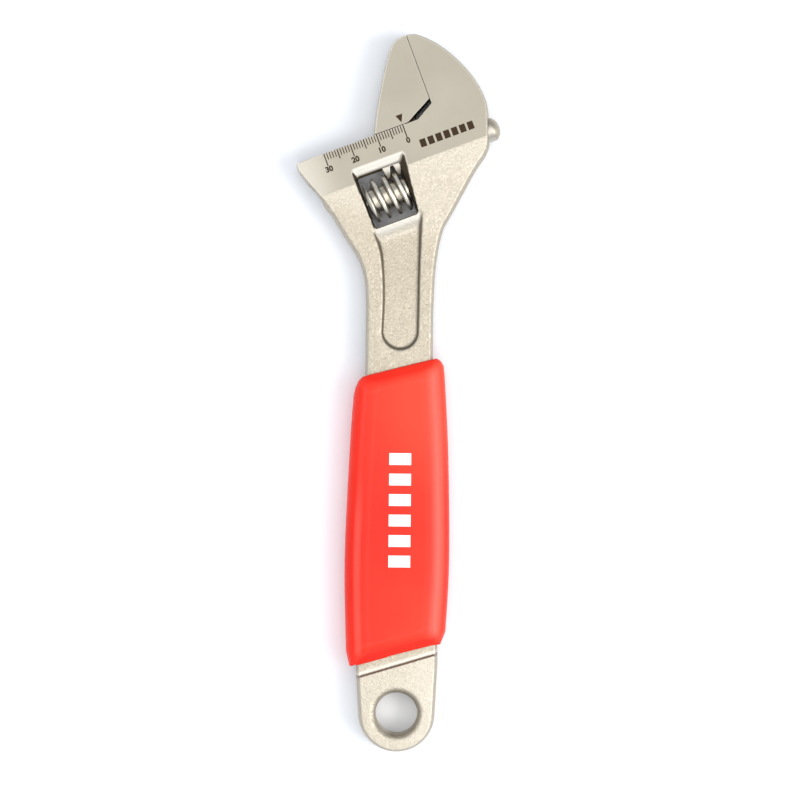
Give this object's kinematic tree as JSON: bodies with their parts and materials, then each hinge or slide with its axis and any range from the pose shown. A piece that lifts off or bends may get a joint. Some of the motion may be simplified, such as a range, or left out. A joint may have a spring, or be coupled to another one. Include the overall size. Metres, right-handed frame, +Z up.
{
  "type": "adjustable wrench",
  "caption": "Adjustable wrench with an angled head, worm-driven movable jaw on a round rail, millimetre scale, hang hole and moulded grip sleeve.",
  "frame": {"origin": "below the centre of the bounding box, on the surface that the wrench lies on", "axes": "+Y along the handle towards the jaws, +X to the right of the handle, +Z up out of the upper face"},
  "size_m": [0.073, 0.2572, 0.0156],
  "materials": {
    "forged_steel": "satin nickel plate over a fine-grained forged skin",
    "ground_steel": "satin nickel plate over a ground face",
    "worm_steel": "bright nickel plate",
    "pin_steel": "plain turned steel",
    "spring_steel": "drawn wire",
    "grip_red": "soft satin vinyl"
  },
  "bodies": {
    "wrench_body": {"body": "forged_steel", "grip_sleeve": "grip_red", "worm_pin": "pin_steel", "worm_spring": "spring_steel"},
    "jaw": {"movable_jaw": "ground_steel"},
    "worm": {"worm": "worm_steel"}
  },
  "joints": [
    {"name": "jaw_slide", "type": "slide", "parent": "wrench_body", "child": "jaw", "axis": [-0.9351, -0.3545, 0], "range_m": [0, 0.03]},
    {"name": "worm_spin", "type": "hinge", "parent": "wrench_body", "child": "worm", "pos_m": [0.00929, 0.07567, 0.0078], "axis": [0.9351, 0.3545, 0], "range_deg": [0, 2640]}
  ],
  "couplings": [
    {"joint": "worm_spin", "follows": "jaw_slide", "rad_per_m": 1532.5}
  ]
}
